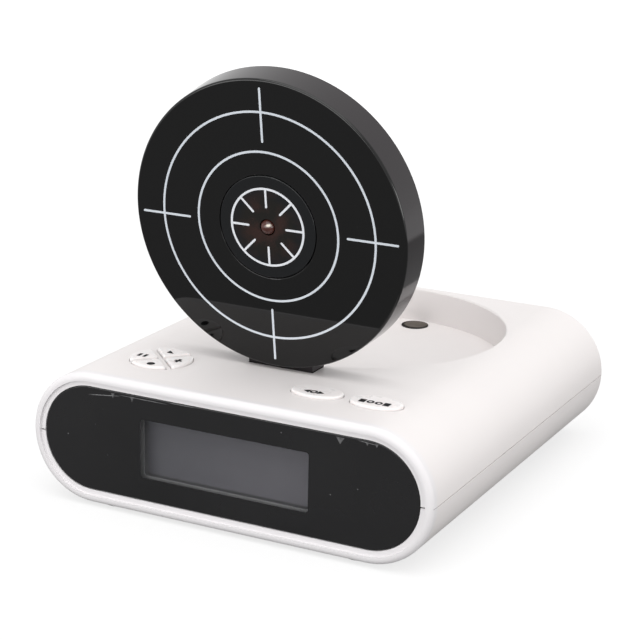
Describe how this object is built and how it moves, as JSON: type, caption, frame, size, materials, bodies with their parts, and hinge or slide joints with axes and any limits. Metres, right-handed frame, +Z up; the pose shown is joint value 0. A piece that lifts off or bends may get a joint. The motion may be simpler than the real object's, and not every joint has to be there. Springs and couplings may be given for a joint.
{
  "type": "digital alarm clock",
  "caption": "Digital alarm clock: round-sided flat base with a dark front window, press keys, and a round target on a hinge that folds back into a pocket in the top.",
  "frame": {"origin": "on the table, under the middle of the clock's bounding box, at the underside of the feet", "axes": "+X to the viewer's right, +Y from the front window to the rear, +Z up"},
  "size_m": [0.1424, 0.15, 0.1434],
  "materials": {
    "white_shell": "semi-gloss, warm white",
    "white_buttons": "gloss, warm white",
    "window_black": "high gloss, smoked",
    "mask_black": "matt",
    "display_glass": "satin, grey field of a blank display",
    "light_guide": "satin, milky",
    "strip_rubber": "matt",
    "circuit_board": "satin solder mask",
    "part_black": "matt moulded",
    "flat_lead": "satin",
    "screw_steel": "zinc plated",
    "pin_steel": "ground or drawn, plated",
    "target_black": "high gloss",
    "lens_red": "high gloss, dark red see-through plastic",
    "print_pale": "printed ink, pale blue white",
    "dome_pink": "gloss, moulded clear plastic",
    "keeper_steel": "plain",
    "pole_iron": "dark olive, satin",
    "coil_copper": "enamelled copper wire",
    "basket_steel": "pressed",
    "cone_paper": "pressed paper, matt",
    "ferrite": "sintered",
    "cell_wrap": "printed film, satin",
    "foot_rubber": "matt"
  },
  "bodies": {
    "base": {"upper_shell": "white_shell", "lower_shell": "white_shell", "front_window": "window_black", "window_mask": "mask_black", "lcd_holder": "mask_black", "lcd_glass": "display_glass", "lcd_backlight": "light_guide", "contact_strips": "strip_rubber", "display_board": "circuit_board", "display_screws": "screw_steel", "key_board": "circuit_board", "board_parts": "part_black", "tact_switches": "part_black", "ribbon_cable": "flat_lead", "board_screws": "screw_steel", "hinge_pin": "pin_steel", "target_spring": "pin_steel", "magnet_core": "pole_iron", "magnet_coil": "coil_copper", "magnet_strap": "screw_steel", "strap_screws": "screw_steel", "speaker_basket": "basket_steel", "speaker_cone": "cone_paper", "speaker_magnet": "ferrite", "batteries": "cell_wrap", "battery_springs": "pin_steel", "battery_plates": "pin_steel", "rubber_feet": "foot_rubber", "case_screws": "screw_steel"},
    "target": {"target_shell": "target_black", "target_cover": "target_black", "bullseye_lens": "lens_red", "target_print": "print_pale", "receiver_dome": "dome_pink", "sensor_board": "circuit_board", "sensor_screws": "screw_steel", "target_screws": "screw_steel", "keeper_plate": "keeper_steel"},
    "set_button": {"set_button": "white_buttons"},
    "mode_button": {"mode_button": "white_buttons"},
    "key_left": {"key_left": "white_buttons"},
    "key_right": {"key_right": "white_buttons"},
    "key_rear": {"key_rear": "white_buttons"},
    "key_front": {"key_front": "white_buttons"},
    "battery_door": {"battery_door": "white_shell"}
  },
  "joints": [
    {"name": "target_fold", "type": "hinge", "parent": "base", "child": "target", "pos_m": [0, -0.03495, 0.03935], "axis": [-1, 0, 0], "range_deg": [0, 98.1], "stiffness_Nm_per_rad": 0.023, "springref_deg": -28.65, "deforming": ["target_spring"]},
    {"name": "set_button_press", "type": "slide", "parent": "base", "child": "set_button", "axis": [0, 0, -1], "range_m": [0, 0.0005], "stiffness_N_per_m": 300, "springref_m": -0.001},
    {"name": "mode_button_press", "type": "slide", "parent": "base", "child": "mode_button", "axis": [0, 0, -1], "range_m": [0, 0.0005], "stiffness_N_per_m": 300, "springref_m": -0.001},
    {"name": "key_left_press", "type": "slide", "parent": "base", "child": "key_left", "axis": [0, 0, -1], "range_m": [0, 0.0005], "stiffness_N_per_m": 300, "springref_m": -0.001},
    {"name": "key_right_press", "type": "slide", "parent": "base", "child": "key_right", "axis": [0, 0, -1], "range_m": [0, 0.0005], "stiffness_N_per_m": 300, "springref_m": -0.001},
    {"name": "key_rear_press", "type": "slide", "parent": "base", "child": "key_rear", "axis": [0, 0, -1], "range_m": [0, 0.0005], "stiffness_N_per_m": 300, "springref_m": -0.001},
    {"name": "key_front_press", "type": "slide", "parent": "base", "child": "key_front", "axis": [0, 0, -1], "range_m": [0, 0.0005], "stiffness_N_per_m": 300, "springref_m": -0.001},
    {"name": "battery_door_open", "type": "hinge", "parent": "base", "child": "battery_door", "pos_m": [0, -0.0123, 0.0012], "axis": [-1, 0, 0], "range_deg": [0, 75]}
  ]
}
